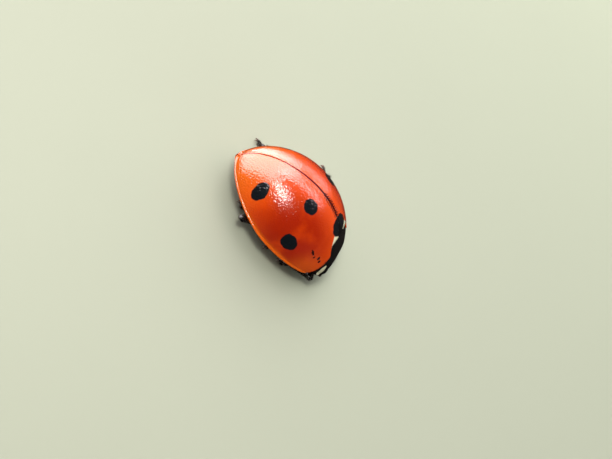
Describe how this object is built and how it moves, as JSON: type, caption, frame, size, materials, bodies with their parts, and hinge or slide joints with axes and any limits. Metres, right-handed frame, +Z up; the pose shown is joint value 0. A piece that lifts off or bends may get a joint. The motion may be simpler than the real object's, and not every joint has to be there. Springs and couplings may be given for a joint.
{
  "type": "ladybird",
  "caption": "Life-size still ladybird beetle with closed orange-red, black-spotted wing cases, standing on its feet with a middle leg stretched out to the side.",
  "frame": {"origin": "on the floor, under the middle of the bounding box, level with the flats of the feet", "axes": "+Y from head to tail, +Z up, +X towards the insect's left side"},
  "size_m": [0.0066, 0.007, 0.0033],
  "materials": {
    "wing_case": "smooth lacquer-like orange-red chitin with black spots",
    "shield": "polished black chitin with cream corner patches",
    "head": "black chitin, finely pitted",
    "eye": "glossy black facets",
    "feeler": "brown chitin darkening to the club",
    "underside": "black chitin under fine pale down",
    "leg": "black chitin with fine hairs"
  },
  "bodies": {
    "root": {"elytron_left": "wing_case", "elytron_right": "wing_case", "scutellum": "shield", "pronotum": "shield", "head": "head", "labrum": "head", "eye_left": "eye", "eye_right": "eye", "antenna_left": "feeler", "antenna_right": "feeler", "palp_left": "feeler", "palp_right": "feeler", "prothorax": "underside", "mesothorax": "underside", "metathorax": "underside", "abdomen_segment_1": "underside", "abdomen_segment_2": "underside", "abdomen_segment_3": "underside", "abdomen_segment_4": "underside", "abdomen_segment_5": "underside", "coxa_left_fore": "leg", "femur_left_fore": "leg", "tibia_left_fore": "leg", "foot_left_fore": "leg", "coxa_right_fore": "leg", "femur_right_fore": "leg", "tibia_right_fore": "leg", "foot_right_fore": "leg", "coxa_left_middle": "leg", "femur_left_middle": "leg", "tibia_left_middle": "leg", "foot_left_middle": "leg", "coxa_right_middle": "leg", "femur_right_middle": "leg", "tibia_right_middle": "leg", "foot_right_middle": "leg", "coxa_left_hind": "leg", "femur_left_hind": "leg", "tibia_left_hind": "leg", "foot_left_hind": "leg", "coxa_right_hind": "leg", "femur_right_hind": "leg", "tibia_right_hind": "leg", "foot_right_hind": "leg"}
  },
  "joints": []
}
